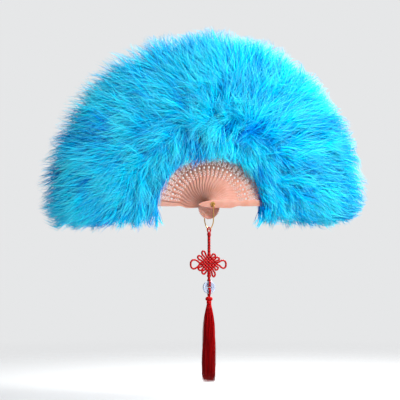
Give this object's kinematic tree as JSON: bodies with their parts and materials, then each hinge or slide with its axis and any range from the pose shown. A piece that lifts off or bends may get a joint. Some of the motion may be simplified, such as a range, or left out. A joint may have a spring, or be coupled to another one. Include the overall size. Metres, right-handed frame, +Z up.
{
  "type": "feather fan",
  "caption": "Folding hand fan of pierced plastic sticks on one rivet, edged with deep fluff, with a wire bail, knotted cord, stone ring and tassel hanging from its pivot.",
  "frame": {"origin": "on the pivot's axis, halfway through the stack of sticks, where a hand holds the fan", "axes": "+X along the span towards the front guard, +Y from the front guard to the rear one, +Z up through the middle of the open fan"},
  "size_m": [0.472, 0.053, 0.4874],
  "materials": {
    "stick_plastic": "satin",
    "plume_fluff": "matte",
    "brass_wire": "polished",
    "silk_cord": "satin",
    "tassel_silk": "satin",
    "pale_stone": "polished"
  },
  "bodies": {
    "front_guard": {"front_guard": "stick_plastic", "plume_front_guard": "plume_fluff", "pivot_rivet": "brass_wire"},
    "stick_01": {"stick_01": "stick_plastic", "plume_01": "plume_fluff"},
    "stick_02": {"stick_02": "stick_plastic", "plume_02": "plume_fluff"},
    "stick_03": {"stick_03": "stick_plastic", "plume_03": "plume_fluff"},
    "stick_04": {"stick_04": "stick_plastic", "plume_04": "plume_fluff"},
    "stick_05": {"stick_05": "stick_plastic", "plume_05": "plume_fluff"},
    "stick_06": {"stick_06": "stick_plastic", "plume_06": "plume_fluff"},
    "stick_07": {"stick_07": "stick_plastic", "plume_07": "plume_fluff"},
    "stick_08": {"stick_08": "stick_plastic", "plume_08": "plume_fluff"},
    "stick_09": {"stick_09": "stick_plastic", "plume_09": "plume_fluff"},
    "stick_10": {"stick_10": "stick_plastic", "plume_10": "plume_fluff"},
    "stick_11": {"stick_11": "stick_plastic", "plume_11": "plume_fluff"},
    "stick_12": {"stick_12": "stick_plastic", "plume_12": "plume_fluff"},
    "stick_13": {"stick_13": "stick_plastic", "plume_13": "plume_fluff"},
    "stick_14": {"stick_14": "stick_plastic", "plume_14": "plume_fluff"},
    "stick_15": {"stick_15": "stick_plastic", "plume_15": "plume_fluff"},
    "stick_16": {"stick_16": "stick_plastic", "plume_16": "plume_fluff"},
    "stick_17": {"stick_17": "stick_plastic", "plume_17": "plume_fluff"},
    "stick_18": {"stick_18": "stick_plastic", "plume_18": "plume_fluff"},
    "stick_19": {"stick_19": "stick_plastic", "plume_19": "plume_fluff"},
    "stick_20": {"stick_20": "stick_plastic", "plume_20": "plume_fluff"},
    "stick_21": {"stick_21": "stick_plastic", "plume_21": "plume_fluff"},
    "stick_22": {"stick_22": "stick_plastic", "plume_22": "plume_fluff"},
    "stick_23": {"stick_23": "stick_plastic", "plume_23": "plume_fluff"},
    "rear_guard": {"rear_guard": "stick_plastic", "plume_rear_guard": "plume_fluff"},
    "bail": {"bail": "brass_wire"},
    "pendant": {"pendant_cord": "silk_cord", "endless_knot": "silk_cord", "bead_knot": "silk_cord"},
    "ring": {"ring_cord": "silk_cord", "stone_ring": "pale_stone"},
    "tassel": {"tassel_cord": "silk_cord", "tassel_head": "tassel_silk", "tassel_skirt": "tassel_silk"}
  },
  "joints": [
    {"name": "fold", "type": "hinge", "parent": "front_guard", "child": "rear_guard", "pos_m": [0, 0, 0], "axis": [0, 1, 0], "range_deg": [0, 178], "deforming": ["plume_rear_guard", "plume_front_guard"]},
    {"name": "fold_01", "type": "hinge", "parent": "front_guard", "child": "stick_01", "pos_m": [0, 0, 0], "axis": [0, 1, 0], "range_deg": [0, 7.42], "deforming": ["plume_01"]},
    {"name": "fold_02", "type": "hinge", "parent": "front_guard", "child": "stick_02", "pos_m": [0, 0, 0], "axis": [0, 1, 0], "range_deg": [0, 14.83], "deforming": ["plume_02"]},
    {"name": "fold_03", "type": "hinge", "parent": "front_guard", "child": "stick_03", "pos_m": [0, 0, 0], "axis": [0, 1, 0], "range_deg": [0, 22.25], "deforming": ["plume_03"]},
    {"name": "fold_04", "type": "hinge", "parent": "front_guard", "child": "stick_04", "pos_m": [0, 0, 0], "axis": [0, 1, 0], "range_deg": [0, 29.67], "deforming": ["plume_04"]},
    {"name": "fold_05", "type": "hinge", "parent": "front_guard", "child": "stick_05", "pos_m": [0, 0, 0], "axis": [0, 1, 0], "range_deg": [0, 37.08], "deforming": ["plume_05"]},
    {"name": "fold_06", "type": "hinge", "parent": "front_guard", "child": "stick_06", "pos_m": [0, 0, 0], "axis": [0, 1, 0], "range_deg": [0, 44.5], "deforming": ["plume_06"]},
    {"name": "fold_07", "type": "hinge", "parent": "front_guard", "child": "stick_07", "pos_m": [0, 0, 0], "axis": [0, 1, 0], "range_deg": [0, 51.92], "deforming": ["plume_07"]},
    {"name": "fold_08", "type": "hinge", "parent": "front_guard", "child": "stick_08", "pos_m": [0, 0, 0], "axis": [0, 1, 0], "range_deg": [0, 59.33], "deforming": ["plume_08"]},
    {"name": "fold_09", "type": "hinge", "parent": "front_guard", "child": "stick_09", "pos_m": [0, 0, 0], "axis": [0, 1, 0], "range_deg": [0, 66.75], "deforming": ["plume_09"]},
    {"name": "fold_10", "type": "hinge", "parent": "front_guard", "child": "stick_10", "pos_m": [0, 0, 0], "axis": [0, 1, 0], "range_deg": [0, 74.17], "deforming": ["plume_10"]},
    {"name": "fold_11", "type": "hinge", "parent": "front_guard", "child": "stick_11", "pos_m": [0, 0, 0], "axis": [0, 1, 0], "range_deg": [0, 81.58], "deforming": ["plume_11"]},
    {"name": "fold_12", "type": "hinge", "parent": "front_guard", "child": "stick_12", "pos_m": [0, 0, 0], "axis": [0, 1, 0], "range_deg": [0, 89], "deforming": ["plume_12"]},
    {"name": "fold_13", "type": "hinge", "parent": "front_guard", "child": "stick_13", "pos_m": [0, 0, 0], "axis": [0, 1, 0], "range_deg": [0, 96.42], "deforming": ["plume_13"]},
    {"name": "fold_14", "type": "hinge", "parent": "front_guard", "child": "stick_14", "pos_m": [0, 0, 0], "axis": [0, 1, 0], "range_deg": [0, 103.83], "deforming": ["plume_14"]},
    {"name": "fold_15", "type": "hinge", "parent": "front_guard", "child": "stick_15", "pos_m": [0, 0, 0], "axis": [0, 1, 0], "range_deg": [0, 111.25], "deforming": ["plume_15"]},
    {"name": "fold_16", "type": "hinge", "parent": "front_guard", "child": "stick_16", "pos_m": [0, 0, 0], "axis": [0, 1, 0], "range_deg": [0, 118.67], "deforming": ["plume_16"]},
    {"name": "fold_17", "type": "hinge", "parent": "front_guard", "child": "stick_17", "pos_m": [0, 0, 0], "axis": [0, 1, 0], "range_deg": [0, 126.08], "deforming": ["plume_17"]},
    {"name": "fold_18", "type": "hinge", "parent": "front_guard", "child": "stick_18", "pos_m": [0, 0, 0], "axis": [0, 1, 0], "range_deg": [0, 133.5], "deforming": ["plume_18"]},
    {"name": "fold_19", "type": "hinge", "parent": "front_guard", "child": "stick_19", "pos_m": [0, 0, 0], "axis": [0, 1, 0], "range_deg": [0, 140.92], "deforming": ["plume_19"]},
    {"name": "fold_20", "type": "hinge", "parent": "front_guard", "child": "stick_20", "pos_m": [0, 0, 0], "axis": [0, 1, 0], "range_deg": [0, 148.33], "deforming": ["plume_20"]},
    {"name": "fold_21", "type": "hinge", "parent": "front_guard", "child": "stick_21", "pos_m": [0, 0, 0], "axis": [0, 1, 0], "range_deg": [0, 155.75], "deforming": ["plume_21"]},
    {"name": "fold_22", "type": "hinge", "parent": "front_guard", "child": "stick_22", "pos_m": [0, 0, 0], "axis": [0, 1, 0], "range_deg": [0, 163.17], "deforming": ["plume_22"]},
    {"name": "fold_23", "type": "hinge", "parent": "front_guard", "child": "stick_23", "pos_m": [0, 0, 0], "axis": [0, 1, 0], "range_deg": [0, 170.58], "deforming": ["plume_23"]},
    {"name": "bail_swing", "type": "hinge", "parent": "front_guard", "child": "bail", "pos_m": [0, 0, 0], "axis": [0, 1, 0], "range_deg": [-45, 45]},
    {"name": "pendant_swing", "type": "hinge", "parent": "bail", "child": "pendant", "pos_m": [0, 0, -0.036], "axis": [1, 0, 0], "range_deg": [-45, 45], "deforming": ["pendant_cord"]},
    {"name": "ring_swing", "type": "hinge", "parent": "pendant", "child": "ring", "pos_m": [0, 0, -0.1041], "axis": [0, 1, 0], "range_deg": [-30, 30], "deforming": ["ring_cord"]},
    {"name": "tassel_swing", "type": "hinge", "parent": "ring", "child": "tassel", "pos_m": [0, 0, -0.12273], "axis": [1, 0, 0], "range_deg": [-45, 45], "deforming": ["tassel_cord"]}
  ],
  "couplings": [
    {"joint": "fold_01", "follows": "fold", "ratio": 0.041667},
    {"joint": "fold_02", "follows": "fold", "ratio": 0.083333},
    {"joint": "fold_03", "follows": "fold", "ratio": 0.125},
    {"joint": "fold_04", "follows": "fold", "ratio": 0.16667},
    {"joint": "fold_05", "follows": "fold", "ratio": 0.20833},
    {"joint": "fold_06", "follows": "fold", "ratio": 0.25},
    {"joint": "fold_07", "follows": "fold", "ratio": 0.29167},
    {"joint": "fold_08", "follows": "fold", "ratio": 0.33333},
    {"joint": "fold_09", "follows": "fold", "ratio": 0.375},
    {"joint": "fold_10", "follows": "fold", "ratio": 0.41667},
    {"joint": "fold_11", "follows": "fold", "ratio": 0.45833},
    {"joint": "fold_12", "follows": "fold", "ratio": 0.5},
    {"joint": "fold_13", "follows": "fold", "ratio": 0.54167},
    {"joint": "fold_14", "follows": "fold", "ratio": 0.58333},
    {"joint": "fold_15", "follows": "fold", "ratio": 0.625},
    {"joint": "fold_16", "follows": "fold", "ratio": 0.66667},
    {"joint": "fold_17", "follows": "fold", "ratio": 0.70833},
    {"joint": "fold_18", "follows": "fold", "ratio": 0.75},
    {"joint": "fold_19", "follows": "fold", "ratio": 0.79167},
    {"joint": "fold_20", "follows": "fold", "ratio": 0.83333},
    {"joint": "fold_21", "follows": "fold", "ratio": 0.875},
    {"joint": "fold_22", "follows": "fold", "ratio": 0.91667},
    {"joint": "fold_23", "follows": "fold", "ratio": 0.95833}
  ]
}
